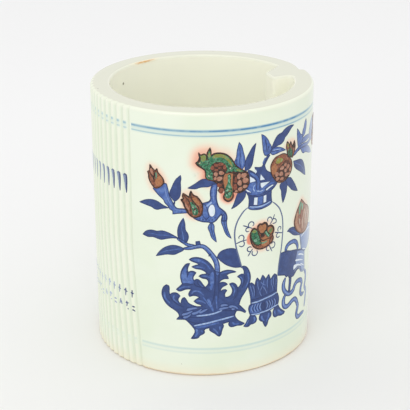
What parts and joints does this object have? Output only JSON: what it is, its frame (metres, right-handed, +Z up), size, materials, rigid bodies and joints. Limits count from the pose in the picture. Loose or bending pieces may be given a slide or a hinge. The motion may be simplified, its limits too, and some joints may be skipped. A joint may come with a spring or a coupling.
{
  "type": "brush pot",
  "caption": "Thick-walled upright porcelain brush pot shaped as a rolled scroll, with a reeded panel, a relieved sheet edge and an inner scroll end.",
  "frame": {"origin": "on the pot's axis, at the height of the surface it stands on", "axes": "+Z up the pot's axis; -Y is the painted front, so the camera of the picture looks along +Y; +X is to the right of the front"},
  "size_m": [0.114, 0.114, 0.14],
  "materials": {
    "glazed_porcelain": "clear celadon-tinged glaze over white porcelain, glossy",
    "inner_glaze": "thicker glaze that pools yellow-green, glossy",
    "underglaze_blue": "cobalt blue painted under the glaze",
    "underglaze_red": "copper red painted under the glaze, with green flecks"
  },
  "bodies": {
    "root": {"scroll_wall": "glazed_porcelain", "scroll_end": "inner_glaze", "floor": "inner_glaze"}
  },
  "joints": []
}
